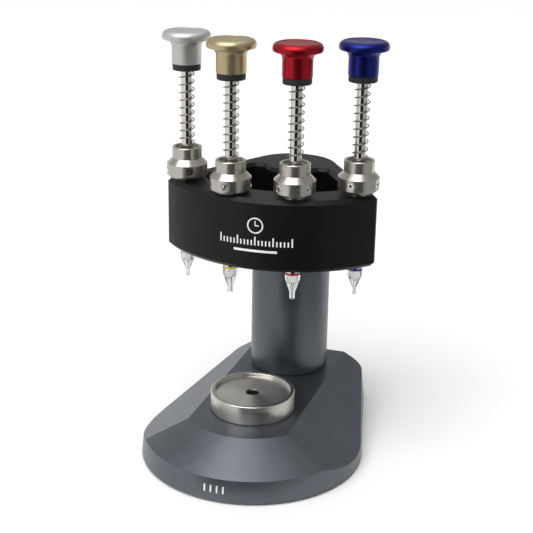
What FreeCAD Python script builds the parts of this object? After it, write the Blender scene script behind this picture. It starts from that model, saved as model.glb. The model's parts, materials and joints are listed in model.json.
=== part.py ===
"""Watch hand setting press: a faceted base with an anvil, a column, and a turret head with four sprung plungers.

Millimetres, +Z up. The column's axis is X = Y = 0, the bench top is z = 0, and the operator sits at -Y.
Every physical piece is exported as its own STEP file in parts/.
"""
import FreeCAD, Part
import math
import os

V = FreeCAD.Vector
X_AXIS = V(1, 0, 0)
Z_AXIS = V(0, 0, 1)

# Layout
REACH = 57.2                # column axis to the anvil's centre, and the radius of the plunger circle
PLUNGER_SPACING = 30.0      # degrees between neighbouring plungers
HEAD_SWING = 2.7            # degrees, the turn of the head as it stands, counter-clockwise from above
PLUNGERS = ("silver", "gold", "red", "blue")   # from the operator's left to right

# Base
FOOT_PROUD = 0.8
BASE_HEIGHT = 21.8
BASE_TOP = FOOT_PROUD + BASE_HEIGHT
BASE_DRAFT = 6.0            # degrees, the walls lean in towards the top
BASE_FRONT_R = 52.5         # foot of the front wall, about the anvil's centre
BASE_REAR_R = 39.4          # the side walls' feet are tangent to this circle about the column
BASE_REAR_Y = 22.9
BASE_REAR_CORNER_R = 7.0
FLAT_HALF_WIDTH = 24.0
FLAT_FRONT_R = 32.2         # front edge of the flat, about the anvil's centre
FACET_SLOPE = 30.0          # degrees below the horizontal
BASE_EDGE = 0.5
FOOT_R = 6.0
FOOT_THICK = 2.4
FOOT_PLACES = ((-30.0, -72.0), (30.0, -72.0), (-24.0, 6.0), (24.0, 6.0))

# Column
COLUMN_R = 19.4
COLUMN_SCREW_R = 4.0
COLUMN_SCREW_HEAD_R = 6.5
COLUMN_SCREW_HEAD = 8.0
COLUMN_SCREW_GRIP = 13.0    # thickness of base under the column, above the screw's head
COLUMN_SCREW_LENGTH = 30.0
DOWEL_R = 2.0
DOWEL_LENGTH = 16.0
DOWEL_X = 11.0

# Anvil
ANVIL_R = 19.8
ANVIL_HEIGHT = 9.2
ANVIL_RECESS_R = 17.5
ANVIL_RECESS = 1.5
ANVIL_HOLE_R = 2.85
ANVIL_HOLE_DEPTH = 4.5
ANVIL_GROOVE = 0.6
ANVIL_SPIGOT_R = 8.0
ANVIL_SPIGOT = 4.0
ANVIL_SCREW_R = 2.5
ANVIL_SCREW_HEAD_R = 4.25
ANVIL_SCREW_HEAD = 5.0
ANVIL_SCREW_GRIP = 7.0

# Head
HEAD_BOTTOM = BASE_TOP + 71.3
HEAD_HEIGHT = 33.3
HEAD_TOP = HEAD_BOTTOM + HEAD_HEIGHT
HEAD_ARC_R = 65.2
HEAD_HUB_R = 22.3
HEAD_HALF_ANGLE = 30.2      # degrees between each side wall and the head's centre line
HEAD_EDGE = 1.8
HEAD_CORNER_R = 3.0
POCKET_DEPTH = 22.0
POCKET_FRONT_R = 48.2
POCKET_SIDE = 13.2          # each pocket side wall's distance from the column axis
POCKET_REAR_Y = -4.6
POCKET_HUB_R = 13.9
POCKET_CORNER_R = 2.2
POCKET_EDGE = 1.6

# Pivot in the head
PIVOT_R = 7.0
PIVOT_CLEARANCE = 0.03
PIVOT_SUNK = 22.0           # length pressed into the column
BUSH_R = 9.0
BUSH_LENGTH = 8.0
BUSH_START = 0.2
UPPER_BUSH_START = 18.2
HUB_BORE = 27.0
PIVOT_TOP = 26.0
WASHER_R = 16.0
WASHER_THICK = 1.0
HEAD_GAP = 0.2              # gap between the column's top and the head
INDEX_BALL_R = 2.0
INDEX_BALL_GAP = 0.02       # between the ball and the plain part of the pivot, where it now stands
INDEX_BALL_Y = PIVOT_R + INDEX_BALL_GAP + INDEX_BALL_R
INDEX_BALL_HEIGHT = 11.2
INDEX_PIT_DEPTH = 0.6
INDEX_SPRING_LENGTH = 3.6
INDEX_PLUG_R = 2.5
INDEX_PLUG_LENGTH = 5.4
STOP_HEIGHT = 15.0
STOP_TURN = 35.0            # degrees round the hub from the index ball
STOP_DOG_R = 1.5
STOP_SCREW_R = 2.5
STOP_GROOVE = 1.5
STOP_PLAY = 0.05
STOP_MARGIN = 17.5          # degrees of groove past each end of the head's swing

# Plungers, heights above the base's flat unless they say otherwise
SPINDLE_R = 2.6
SPINDLE_STUD_R = 1.25
SPINDLE_CLEARANCE = 0.04
SLEEVE_R = 5.4
SPRING_POCKET_R = 3.9
SPRING_SEAT = 100.0
COLLAR_BOTTOMS = {"silver": 105.6, "gold": 105.0, "red": 106.2, "blue": 106.1}
COLLAR_R = 9.35
CUP_R = 6.85
COLLAR_FOOT = 1.1
COLLAR_RIM = 5.3
COLLAR_SHOULDER = 2.5
CUP_HEIGHT = 5.2
CUP_SUNK = 1.2
GRUB_R = 1.5
GRUB_RECESS_R = 1.8
GRUB_RECESS = 0.45
GRUB_HEIGHT = 3.7
GRUB_TURNS = {"silver": 29.0, "gold": 6.0, "red": 56.0, "blue": -9.0}
BUFFER_BOTTOM = 155.0
BUFFER_HEIGHT = 2.8
BUFFER_R = 6.4
KNOB_WAIST_R = 6.65
KNOB_R = 10.95
KNOB_TOP = 172.7
KNOB_BORE_TOP = 169.0
KNOB_FLAT_R = 8.4
KNOB_ROUND = 2.3
KNOB_SIDE = 0.8
KNOB_UNDER_R = 0.9
KNOB_FILLET_R = 3.3
KNOB_DISH = 0.35
SPRING_R = 3.35
WIRE_R = 0.25
SPRING_TURNS = 15.5
HOLDER_R = 3.2
HOLDER_TOP = 71.2
HOLDER_SPIGOT_R = 1.7
HOLDER_SPIGOT = 4.8
RING_TOP = 69.4
RING_BOTTOM = 68.4
RING_R = 3.25
TIP_BOTTOM = 56.4
TIP_R = 3.45
TIP_SHOULDER = 2.5
NOZZLE_LENGTH = 3.1
NOZZLE_R = {"silver": 0.92, "gold": 1.42, "red": 1.25, "blue": 0.88}
NOZZLE_BORE_R = {"silver": 0.35, "gold": 0.8, "red": 0.55, "blue": 0.35}


def cylinder(radius, bottom, height, x=0.0, y=0.0):
    """An upright cylinder from z = bottom."""
    return Part.makeCylinder(radius, height, V(x, y, bottom), Z_AXIS)


def turned(points, x=0.0, y=0.0):
    """A solid of revolution from (radius, z) points; three points in a tuple make an arc."""
    edges = []
    here = points[0]
    for item in points[1:] + points[:1]:
        if isinstance(item[0], tuple):
            middle, end = item
            edges.append(Part.Arc(profile_point(here), profile_point(middle), profile_point(end)).toShape())
        else:
            end = item
            edges.append(Part.LineSegment(profile_point(here), profile_point(end)).toShape())
        here = end
    face = Part.Face(Part.Wire(edges))
    solid = face.revolve(V(0, 0, 0), Z_AXIS, 360)
    solid.translate(V(x, y, 0))
    return solid


def profile_point(point):
    """A (radius, z) pair as a point in the XZ plane."""
    return V(point[0], 0, point[1])


def arc_middle(centre, radius, degrees):
    """The (radius, z) point at an angle on a circle in a turned profile."""
    turn = math.radians(degrees)
    return (centre[0] + radius * math.cos(turn), centre[1] + radius * math.sin(turn))


def on_circle(radius, degrees):
    """X and Y at an angle from straight ahead (-Y), positive towards +X."""
    turn = math.radians(degrees)
    return radius * math.sin(turn), -radius * math.cos(turn)


def hexagon_socket(across_flats, depth, base, direction):
    """A hexagonal prism that starts at base and runs along direction."""
    corner_r = across_flats / 2 / math.cos(math.radians(30))
    corners = [V(corner_r * math.cos(math.radians(60 * i)), corner_r * math.sin(math.radians(60 * i)), 0)
               for i in range(7)]
    prism = Part.Face(Part.makePolygon(corners)).extrude(V(0, 0, depth))
    prism.Placement = FreeCAD.Placement(base, FreeCAD.Rotation(Z_AXIS, direction))
    return prism


def coil(radius, wire_r, turns, bottom, length):
    """A right-handed round-wire spring whose wire's centre line fills the given length."""
    path = Part.Wire(Part.makeHelix(length / turns, length, radius))
    section = Part.Wire(Part.makeCircle(wire_r, V(radius, 0, 0), V(0, 1, 0)))
    spring = path.makePipeShell([section], True, True)
    spring.translate(V(0, 0, bottom))
    return spring


def fillet_uprights(solid, radius, wanted):
    """Round the upright edges whose middle point passes the test."""
    steep = 0.98
    edges = [edge for edge in solid.Edges
             if abs(edge.tangentAt(edge.FirstParameter).z) > steep and wanted(edge.CenterOfMass)]
    return solid.makeFillet(radius, edges)


# ---------------------------------------------------------------- base

def base_outline(height):
    """The base at a height above its underside: a wide front arc, tangent sides, a straight rear edge."""
    inset = height * math.tan(math.radians(BASE_DRAFT))
    front_r = BASE_FRONT_R - inset
    rear_r = BASE_REAR_R - inset
    rear_y = BASE_REAR_Y - inset
    z = FOOT_PROUD + height
    taper = math.asin((front_r - rear_r) / REACH)
    front_x = front_r * math.cos(taper)
    front_y = -REACH + front_r * math.sin(taper)
    rear_x = (rear_r - rear_y * math.sin(taper)) / math.cos(taper)
    front = Part.Arc(V(front_x, front_y, z), V(0, -REACH - front_r, z), V(-front_x, front_y, z))
    corners = [V(-front_x, front_y, z), V(-rear_x, rear_y, z), V(rear_x, rear_y, z), V(front_x, front_y, z)]
    sides = [Part.LineSegment(a, b).toShape() for a, b in zip(corners, corners[1:])]
    return Part.Wire([front.toShape()] + sides)


def make_base_body():
    block = Part.makeLoft([base_outline(0), base_outline(BASE_HEIGHT)], True, True)
    block = fillet_uprights(block, BASE_REAR_CORNER_R, lambda p: p.y > 0)
    slope = math.tan(math.radians(FACET_SLOPE))
    reach = 2 * BASE_FRONT_R
    for side in (-1, 1):
        wedge = Part.makePolygon([V(side * FLAT_HALF_WIDTH, -2 * reach, BASE_TOP),
                                  V(side * reach, -2 * reach, BASE_TOP - (reach - FLAT_HALF_WIDTH) * slope),
                                  V(side * reach, -2 * reach, BASE_TOP),
                                  V(side * FLAT_HALF_WIDTH, -2 * reach, BASE_TOP)])
        block = block.cut(Part.Face(wedge).extrude(V(0, 3 * reach, 0)))
    front = turned([(FLAT_FRONT_R, BASE_TOP), (reach, BASE_TOP - (reach - FLAT_FRONT_R) * slope),
                    (reach, BASE_TOP)], 0, -REACH)
    keep = Part.makeBox(2 * reach, reach, 2 * BASE_TOP, V(-reach, -REACH - reach, 0))
    block = block.cut(front.common(keep))
    rim = [edge for edge in block.Edges if edge.BoundBox.ZMax < FOOT_PROUD + 0.01]
    block = block.makeChamfer(BASE_EDGE, rim)
    for x, y in FOOT_PLACES:
        block = block.cut(cylinder(FOOT_R, 0, FOOT_THICK, x, y))
    block = block.cut(cylinder(COLUMN_SCREW_R + 0.25, 0, 2 * BASE_TOP))
    block = block.cut(cylinder(COLUMN_SCREW_HEAD_R + 0.5, 0, BASE_TOP - COLUMN_SCREW_GRIP))
    block = block.cut(cylinder(ANVIL_SPIGOT_R, BASE_TOP - ANVIL_SPIGOT, ANVIL_SPIGOT, 0, -REACH))
    anvil_seat = BASE_TOP - ANVIL_SPIGOT
    block = block.cut(cylinder(ANVIL_SCREW_R + 0.25, 0, 2 * BASE_TOP, 0, -REACH))
    block = block.cut(cylinder(ANVIL_SCREW_HEAD_R + 0.5, 0, anvil_seat - ANVIL_SCREW_GRIP, 0, -REACH))
    for side in (-1, 1):
        block = block.cut(cylinder(DOWEL_R, BASE_TOP - DOWEL_LENGTH / 2, DOWEL_LENGTH, side * DOWEL_X, 0))
    return block


def make_rubber_feet():
    """Four feet near the corners, and a thin pad that covers the column screw and stands in line with them."""
    foot_edge = 0.5
    feet = []
    for x, y in FOOT_PLACES:
        foot = cylinder(FOOT_R, 0, FOOT_THICK, x, y)
        rim = [edge for edge in foot.Edges if edge.BoundBox.ZMax < 0.01]
        feet.append(foot.makeChamfer(foot_edge, rim))
    screw_face = BASE_TOP - COLUMN_SCREW_GRIP - COLUMN_SCREW_HEAD
    feet.append(cylinder(COLUMN_SCREW_HEAD_R + 0.5, 0, screw_face))
    return Part.makeCompound(feet)


def cap_screw(radius, head_r, head, grip_top, length, socket, x=0.0, y=0.0):
    """A socket cap screw that points up, with its head's bearing face at grip_top."""
    screw = cylinder(radius, grip_top, length, x, y).fuse(cylinder(head_r, grip_top - head, head, x, y))
    screw = screw.removeSplitter()
    return screw.cut(hexagon_socket(socket, head * 0.6, V(x, y, grip_top - head), Z_AXIS))


def make_column():
    column_height = HEAD_BOTTOM - HEAD_GAP - BASE_TOP
    top = BASE_TOP + column_height
    column = cylinder(COLUMN_R, BASE_TOP, column_height)
    outer = [edge for edge in column.Edges if edge.Length > 6 * COLUMN_R]
    column = column.makeChamfer(0.4, outer)
    column = column.cut(cylinder(WASHER_R + 0.3, top - WASHER_THICK + HEAD_GAP, WASHER_THICK))
    column = column.cut(cylinder(PIVOT_R, top - PIVOT_SUNK, PIVOT_SUNK))
    hole_depth = COLUMN_SCREW_LENGTH - COLUMN_SCREW_GRIP + 3.0
    column = column.cut(cylinder(COLUMN_SCREW_R, BASE_TOP, hole_depth))
    for side in (-1, 1):
        column = column.cut(cylinder(DOWEL_R, BASE_TOP, DOWEL_LENGTH / 2, side * DOWEL_X, 0))
    return column


def make_column_screw():
    return cap_screw(COLUMN_SCREW_R, COLUMN_SCREW_HEAD_R, COLUMN_SCREW_HEAD,
                     BASE_TOP - COLUMN_SCREW_GRIP, COLUMN_SCREW_LENGTH, 6.0)


def make_column_dowels():
    return Part.makeCompound([cylinder(DOWEL_R, BASE_TOP - DOWEL_LENGTH / 2, DOWEL_LENGTH, side * DOWEL_X, 0)
                              for side in (-1, 1)])


def make_anvil():
    """A shallow cup with a raised rim, a drilled centre and a spigot that sits in the base."""
    top = BASE_TOP + ANVIL_HEIGHT
    floor = top - ANVIL_RECESS
    rim_edge = 0.4
    hole_edge = 0.5
    hole_floor = floor - ANVIL_HOLE_DEPTH
    spigot_floor = BASE_TOP - ANVIL_SPIGOT
    return turned([
        (ANVIL_SCREW_R, spigot_floor), (ANVIL_SPIGOT_R, spigot_floor), (ANVIL_SPIGOT_R, BASE_TOP),
        (ANVIL_R - ANVIL_GROOVE, BASE_TOP), (ANVIL_R - ANVIL_GROOVE, BASE_TOP + ANVIL_GROOVE),
        (ANVIL_R, BASE_TOP + ANVIL_GROOVE), (ANVIL_R, top - rim_edge), (ANVIL_R - rim_edge, top),
        (ANVIL_RECESS_R + rim_edge, top), (ANVIL_RECESS_R, top - rim_edge), (ANVIL_RECESS_R, floor),
        (ANVIL_HOLE_R + hole_edge, floor), (ANVIL_HOLE_R, floor - hole_edge), (ANVIL_HOLE_R, hole_floor),
        (ANVIL_SCREW_R, hole_floor)], 0, -REACH)


def make_anvil_screw():
    bearing = BASE_TOP - ANVIL_SPIGOT - ANVIL_SCREW_GRIP
    length = ANVIL_SCREW_GRIP + ANVIL_SPIGOT + 2.0
    return cap_screw(ANVIL_SCREW_R, ANVIL_SCREW_HEAD_R, ANVIL_SCREW_HEAD, bearing, length, 4.0, 0, -REACH)


# ---------------------------------------------------------------- head

def head_outline(side_distance, front_r):
    """Two side walls at a distance from the axis, joined by a front arc; open at the rear."""
    along = math.sqrt(front_r ** 2 - side_distance ** 2)
    lean = math.radians(HEAD_HALF_ANGLE)
    near = V(side_distance * math.cos(lean), side_distance * math.sin(lean), 0)
    far = near + V(along * math.sin(lean), -along * math.cos(lean), 0)
    return near, far


def mirrored(point):
    """The same point on the other side of the head's centre line."""
    return V(-point.x, point.y, point.z)


def make_head_block():
    """The fan: a round hub, two straight sides and a front arc about the column's axis."""
    near, far = head_outline(HEAD_HUB_R, HEAD_ARC_R)
    front = Part.Arc(far, V(0, -HEAD_ARC_R, 0), mirrored(far)).toShape()
    rear = Part.Arc(mirrored(near), V(0, HEAD_HUB_R, 0), near).toShape()
    sides = [Part.LineSegment(mirrored(far), mirrored(near)).toShape(), Part.LineSegment(near, far).toShape()]
    block = Part.Face(Part.Wire([front, sides[0], rear, sides[1]])).extrude(V(0, 0, HEAD_HEIGHT))
    block = fillet_uprights(block, HEAD_CORNER_R, lambda p: p.y < -HEAD_HUB_R)
    ends = [edge for edge in block.Edges if edge.BoundBox.ZLength < 0.01]
    return block.makeChamfer(HEAD_EDGE, ends)


def pocket_face(grow):
    """The pocket's outline: arc at the front, two sides, and a rear wall that bends round the hub."""
    side = POCKET_SIDE + grow
    front_r = POCKET_FRONT_R + grow
    hub_r = POCKET_HUB_R - grow
    rear_y = POCKET_REAR_Y + grow
    _, far = head_outline(side, front_r)
    lean = math.radians(HEAD_HALF_ANGLE)
    rear_corner = V((side - rear_y * math.sin(lean)) / math.cos(lean), rear_y, 0)
    hub_corner = V(math.sqrt(hub_r ** 2 - rear_y ** 2), rear_y, 0)
    edges = [Part.Arc(far, V(0, -front_r, 0), mirrored(far)).toShape(),
             Part.LineSegment(mirrored(far), mirrored(rear_corner)).toShape(),
             Part.LineSegment(mirrored(rear_corner), mirrored(hub_corner)).toShape(),
             Part.Arc(mirrored(hub_corner), V(0, -hub_r, 0), hub_corner).toShape(),
             Part.LineSegment(hub_corner, rear_corner).toShape(),
             Part.LineSegment(rear_corner, far).toShape()]
    return Part.Face(Part.Wire(edges))


def make_pocket():
    """The pocket with rounded corners and a chamfered mouth, as a solid to cut away."""
    pocket = pocket_face(0.0).extrude(V(0, 0, POCKET_DEPTH + 2 * POCKET_EDGE))
    pocket = fillet_uprights(pocket, POCKET_CORNER_R, lambda p: True)
    pocket.translate(V(0, 0, HEAD_HEIGHT - POCKET_DEPTH))
    above = Part.makeBox(200, 200, 200, V(-100, -100, HEAD_HEIGHT))
    return pocket.cut(above)


def make_head_body():
    block = make_head_block().cut(make_pocket())
    mouth = [edge for edge in block.Edges
             if abs(edge.BoundBox.ZMin - HEAD_HEIGHT) < 0.01 and edge.BoundBox.ZLength < 0.01
             and is_pocket_edge(edge)]
    block = block.makeChamfer(POCKET_EDGE, mouth)
    block.translate(V(0, 0, HEAD_BOTTOM))
    block = block.cut(cylinder(BUSH_R, HEAD_BOTTOM, HUB_BORE))
    block = block.cut(across(INDEX_BALL_R + 0.03, BUSH_R - 1, HEAD_HUB_R, INDEX_BALL_HEIGHT, 0))
    plug_start = INDEX_BALL_Y + INDEX_BALL_R + INDEX_SPRING_LENGTH
    block = block.cut(across(INDEX_PLUG_R, plug_start, 2 * HEAD_HUB_R, INDEX_BALL_HEIGHT, 0))
    block = block.cut(across(STOP_SCREW_R, BUSH_R - 1, 2 * HEAD_HUB_R, STOP_HEIGHT, STOP_TURN))
    for index in range(len(PLUNGERS)):
        x, y = on_circle(REACH, plunger_angle(index))
        block = block.cut(cylinder(SLEEVE_R, HEAD_BOTTOM - 1, HEAD_HEIGHT + 2, x, y))
    return block


def is_pocket_edge(edge):
    """True for an edge of the pocket's mouth, which lies inside the head's outer wall."""
    middle = edge.valueAt((edge.FirstParameter + edge.LastParameter) / 2)
    lean = math.radians(HEAD_HALF_ANGLE)
    from_axis = abs(middle.x) * math.cos(lean) + middle.y * math.sin(lean)
    inside_arc = math.hypot(middle.x, middle.y) < POCKET_FRONT_R + 1
    return inside_arc and middle.y < 0 and from_axis < POCKET_SIDE + 1


def across(radius, start, end, height, turn):
    """A level cylinder that points from the column's axis to the rear, turned round the hub."""
    angle = math.radians(90 + turn)
    direction = V(math.cos(angle), math.sin(angle), 0)
    base = direction * start + V(0, 0, HEAD_BOTTOM + height)
    return Part.makeCylinder(radius, end - start, base, direction)


def plunger_angle(index):
    """A plunger's place on its circle in the head, in degrees from the head's centre line."""
    return (index - (len(PLUNGERS) - 1) / 2) * PLUNGER_SPACING


def make_bush(start):
    return cylinder(BUSH_R, HEAD_BOTTOM + start, BUSH_LENGTH).cut(
        cylinder(PIVOT_R + PIVOT_CLEARANCE, HEAD_BOTTOM + start - 1, BUSH_LENGTH + 2))


def make_thrust_washer():
    bottom = HEAD_BOTTOM - WASHER_THICK
    return cylinder(WASHER_R, bottom, WASHER_THICK).cut(
        cylinder(PIVOT_R + 0.2, bottom - 1, WASHER_THICK + 2))


def make_pivot_shaft():
    """The steel pivot, with pits for the index ball and a groove that stops the head's swing."""
    bottom = HEAD_BOTTOM - HEAD_GAP - PIVOT_SUNK
    shaft = cylinder(PIVOT_R, bottom, HEAD_BOTTOM + PIVOT_TOP - bottom)
    shaft = shaft.makeChamfer(0.6, [edge for edge in shaft.Edges if edge.BoundBox.ZLength < 0.01])
    pit_centre_r = PIVOT_R + INDEX_BALL_R - INDEX_PIT_DEPTH
    for index in range(len(PLUNGERS)):
        angle = math.radians(90 + plunger_angle(index))
        centre = V(pit_centre_r * math.cos(angle), pit_centre_r * math.sin(angle),
                   HEAD_BOTTOM + INDEX_BALL_HEIGHT)
        shaft = shaft.cut(Part.makeSphere(INDEX_BALL_R, centre))
    half_swing = -plunger_angle(0)
    half_groove = half_swing + STOP_MARGIN
    half_height = STOP_DOG_R + STOP_PLAY
    groove_floor = PIVOT_R - STOP_GROOVE - STOP_PLAY
    ring = Part.makeCylinder(PIVOT_R + 1, 2 * half_height,
                             V(0, 0, HEAD_BOTTOM + STOP_HEIGHT - half_height), Z_AXIS, 2 * half_groove)
    ring.rotate(V(0, 0, 0), Z_AXIS, 90 + STOP_TURN - half_groove)
    groove = ring.cut(cylinder(groove_floor, HEAD_BOTTOM, HEAD_HEIGHT))
    return shaft.cut(groove)


def make_index_ball():
    return Part.makeSphere(INDEX_BALL_R, V(0, INDEX_BALL_Y, HEAD_BOTTOM + INDEX_BALL_HEIGHT))


def make_index_spring():
    wire_r = 0.2
    start = INDEX_BALL_Y + INDEX_BALL_R
    spring = coil(1.1, wire_r, 5, 0, INDEX_SPRING_LENGTH - 2 * wire_r)
    spring.rotate(V(0, 0, 0), X_AXIS, -90)
    spring.translate(V(0, start + wire_r, HEAD_BOTTOM + INDEX_BALL_HEIGHT))
    return spring


def make_index_plug():
    start = INDEX_BALL_Y + INDEX_BALL_R + INDEX_SPRING_LENGTH
    plug = across(INDEX_PLUG_R, start, start + INDEX_PLUG_LENGTH, INDEX_BALL_HEIGHT, 0)
    face = V(0, start + INDEX_PLUG_LENGTH, HEAD_BOTTOM + INDEX_BALL_HEIGHT)
    return plug.cut(hexagon_socket(2.5, 2.5, face, V(0, -1, 0)))


def make_stop_screw():
    """A set screw whose dog runs in the pivot's groove: it holds the head down and ends its swing."""
    dog_start = PIVOT_R - STOP_GROOVE
    body_start = BUSH_R + 0.3
    body_end = HEAD_HUB_R - 1.0
    dog = across(STOP_DOG_R, dog_start, body_start, STOP_HEIGHT, STOP_TURN)
    body = across(STOP_SCREW_R, body_start, body_end, STOP_HEIGHT, STOP_TURN)
    angle = math.radians(90 + STOP_TURN)
    outward = V(math.cos(angle), math.sin(angle), 0)
    face = outward * body_end + V(0, 0, HEAD_BOTTOM + STOP_HEIGHT)
    return dog.fuse(body).cut(hexagon_socket(2.5, 2.5, face, outward * -1))


# ---------------------------------------------------------------- plungers, about the Z axis

def make_guide_sleeve(name):
    """The tube in the head: a close bore for the spindle below, a wide one for the spring above."""
    bottom = HEAD_BOTTOM
    seat = BASE_TOP + SPRING_SEAT
    top = BASE_TOP + collar_top(name) - CUP_SUNK
    return turned([(SPINDLE_R + SPINDLE_CLEARANCE, bottom), (SLEEVE_R, bottom), (SLEEVE_R, top),
                   (SPRING_POCKET_R, top), (SPRING_POCKET_R, seat), (SPINDLE_R + SPINDLE_CLEARANCE, seat)])


def collar_top(name):
    """Height of a collar's rim above the base's flat."""
    return COLLAR_BOTTOMS[name] + COLLAR_FOOT + COLLAR_RIM + COLLAR_SHOULDER + CUP_HEIGHT


def grub_direction(name, index):
    """The outward direction of one of a collar's four screws."""
    x, y = on_circle(1.0, GRUB_TURNS[name] - HEAD_SWING + 90 * index)
    return V(x, y, 0)


def make_collar(name):
    bottom = BASE_TOP + COLLAR_BOTTOMS[name]
    rim_bottom = bottom + COLLAR_FOOT
    rim_top = rim_bottom + COLLAR_RIM
    cup_bottom = rim_top + COLLAR_SHOULDER
    top = cup_bottom + CUP_HEIGHT
    edge = 0.25
    collar = turned([(SLEEVE_R, bottom), (COLLAR_R - COLLAR_FOOT, bottom), (COLLAR_R, rim_bottom),
                     (COLLAR_R, rim_top), (CUP_R, cup_bottom), (CUP_R, top - edge), (CUP_R - edge, top),
                     (SLEEVE_R + edge, top), (SLEEVE_R, top - edge)])
    for index in range(4):
        outward = grub_direction(name, index)
        start = V(0, 0, bottom + GRUB_HEIGHT)
        collar = collar.cut(Part.makeCylinder(GRUB_R, COLLAR_R + 1, start, outward))
        mouth = start + outward * (COLLAR_R - GRUB_RECESS)
        collar = collar.cut(Part.makeCylinder(GRUB_RECESS_R, 2, mouth, outward))
    return collar


def make_collar_screws(name):
    """Four cup-point grub screws that clamp the collar to its sleeve."""
    height = BASE_TOP + COLLAR_BOTTOMS[name] + GRUB_HEIGHT
    screws = []
    for index in range(4):
        outward = grub_direction(name, index)
        start = outward * SLEEVE_R + V(0, 0, height)
        length = COLLAR_R - SLEEVE_R - GRUB_RECESS + 0.15
        sleeve = cylinder(SLEEVE_R, height - 5, 10)
        screw = Part.makeCylinder(GRUB_R, length + 0.5, start - outward * 0.5, outward).cut(sleeve)
        face = outward * (SLEEVE_R + length) + V(0, 0, height)
        screws.append(screw.cut(hexagon_socket(1.5, 1.4, face, outward * -1)))
    return Part.makeCompound(screws)


def make_spring():
    """The return spring, from its seat in the sleeve to the buffer ring."""
    bottom = BASE_TOP + SPRING_SEAT + WIRE_R
    length = BUFFER_BOTTOM - SPRING_SEAT - 2 * WIRE_R
    return coil(SPRING_R, WIRE_R, SPRING_TURNS, bottom, length)


def make_knob():
    """A mushroom knob: dished top, rounded flange, concave fillet down to a plain waist."""
    top = BASE_TOP + KNOB_TOP
    side_top = top - KNOB_ROUND
    side_bottom = side_top - KNOB_SIDE
    under = side_bottom - KNOB_UNDER_R
    waist_top = under - KNOB_FILLET_R
    waist_bottom = BASE_TOP + BUFFER_BOTTOM + BUFFER_HEIGHT
    lip = KNOB_R - KNOB_FLAT_R
    shoulder = math.radians(45)
    lip_middle = (KNOB_FLAT_R + lip * math.sin(shoulder), side_top + KNOB_ROUND * math.cos(shoulder))
    under_centre = (KNOB_R - KNOB_UNDER_R, side_bottom)
    fillet_centre = (KNOB_WAIST_R + KNOB_FILLET_R, waist_top)
    dish_r = (KNOB_FLAT_R ** 2 + KNOB_DISH ** 2) / (2 * KNOB_DISH)
    dish_turn = math.degrees(math.asin(KNOB_FLAT_R / dish_r))
    bore_top = BASE_TOP + KNOB_BORE_TOP
    edge = 0.3
    return turned([
        (0, bore_top), (SPINDLE_R, bore_top), (SPINDLE_R, waist_bottom), (KNOB_WAIST_R - edge, waist_bottom),
        (KNOB_WAIST_R, waist_bottom + edge), (KNOB_WAIST_R, waist_top),
        (arc_middle(fillet_centre, KNOB_FILLET_R, 135), (fillet_centre[0], under)),
        (KNOB_R - KNOB_UNDER_R, under),
        (arc_middle(under_centre, KNOB_UNDER_R, -45), (KNOB_R, side_bottom)),
        (KNOB_R, side_top), (lip_middle, (KNOB_FLAT_R, top)),
        (arc_middle((0, dish_r + top - KNOB_DISH), dish_r, dish_turn / 2 - 90), (0, top - KNOB_DISH))])


def make_buffer_ring():
    bottom = BASE_TOP + BUFFER_BOTTOM
    edge = 0.3
    return turned([(SPINDLE_R, bottom), (BUFFER_R - edge, bottom), (BUFFER_R, bottom + edge),
                   (BUFFER_R, bottom + BUFFER_HEIGHT), (SPINDLE_R, bottom + BUFFER_HEIGHT)])


def make_spindle():
    """The steel rod, from the knob's bore to a stud that screws into the tip holder."""
    shoulder = BASE_TOP + HOLDER_TOP
    stud_end = BASE_TOP + RING_TOP - HOLDER_SPIGOT + 1.5
    top = BASE_TOP + KNOB_BORE_TOP
    edge = 0.3
    return turned([(0, stud_end), (SPINDLE_STUD_R, stud_end), (SPINDLE_STUD_R, shoulder),
                   (SPINDLE_R, shoulder), (SPINDLE_R, top - edge), (SPINDLE_R - edge, top), (0, top)])


def make_tip_holder():
    top = BASE_TOP + HOLDER_TOP
    face = BASE_TOP + RING_TOP
    spigot_end = face - HOLDER_SPIGOT
    hole_end = spigot_end + 1.5
    edge = 0.3
    return turned([(SPINDLE_STUD_R, hole_end), (SPINDLE_STUD_R, top), (HOLDER_R - edge, top),
                   (HOLDER_R, top - edge), (HOLDER_R, face), (HOLDER_SPIGOT_R, face),
                   (HOLDER_SPIGOT_R, spigot_end + edge), (HOLDER_SPIGOT_R - edge, spigot_end),
                   (0, spigot_end), (0, hole_end)])


def make_colour_ring():
    bottom = BASE_TOP + RING_BOTTOM
    return turned([(HOLDER_SPIGOT_R, bottom), (RING_R, bottom), (RING_R, bottom + RING_TOP - RING_BOTTOM),
                   (HOLDER_SPIGOT_R, bottom + RING_TOP - RING_BOTTOM)])


def make_tip(name):
    """The clear nose that presses the hand on: a socket for the holder, a cone and a hollow nozzle."""
    top = BASE_TOP + RING_BOTTOM
    shoulder = top - TIP_SHOULDER
    bottom = BASE_TOP + TIP_BOTTOM
    nozzle_top = bottom + NOZZLE_LENGTH
    socket_end = BASE_TOP + RING_TOP - HOLDER_SPIGOT - 0.3
    nozzle_r = NOZZLE_R[name]
    bore_r = NOZZLE_BORE_R[name]
    edge = 0.12
    return turned([(bore_r, bottom), (nozzle_r - edge, bottom), (nozzle_r, bottom + edge),
                   (nozzle_r, nozzle_top), (TIP_R, shoulder), (TIP_R, top), (HOLDER_SPIGOT_R, top),
                   (HOLDER_SPIGOT_R, socket_end), (bore_r, socket_end - 1.0)])


# ---------------------------------------------------------------- assembly

def swung(shape):
    """Turn a piece of the head from the centre line to where the head stands."""
    shape.rotate(V(0, 0, 0), Z_AXIS, HEAD_SWING)
    return shape


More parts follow.
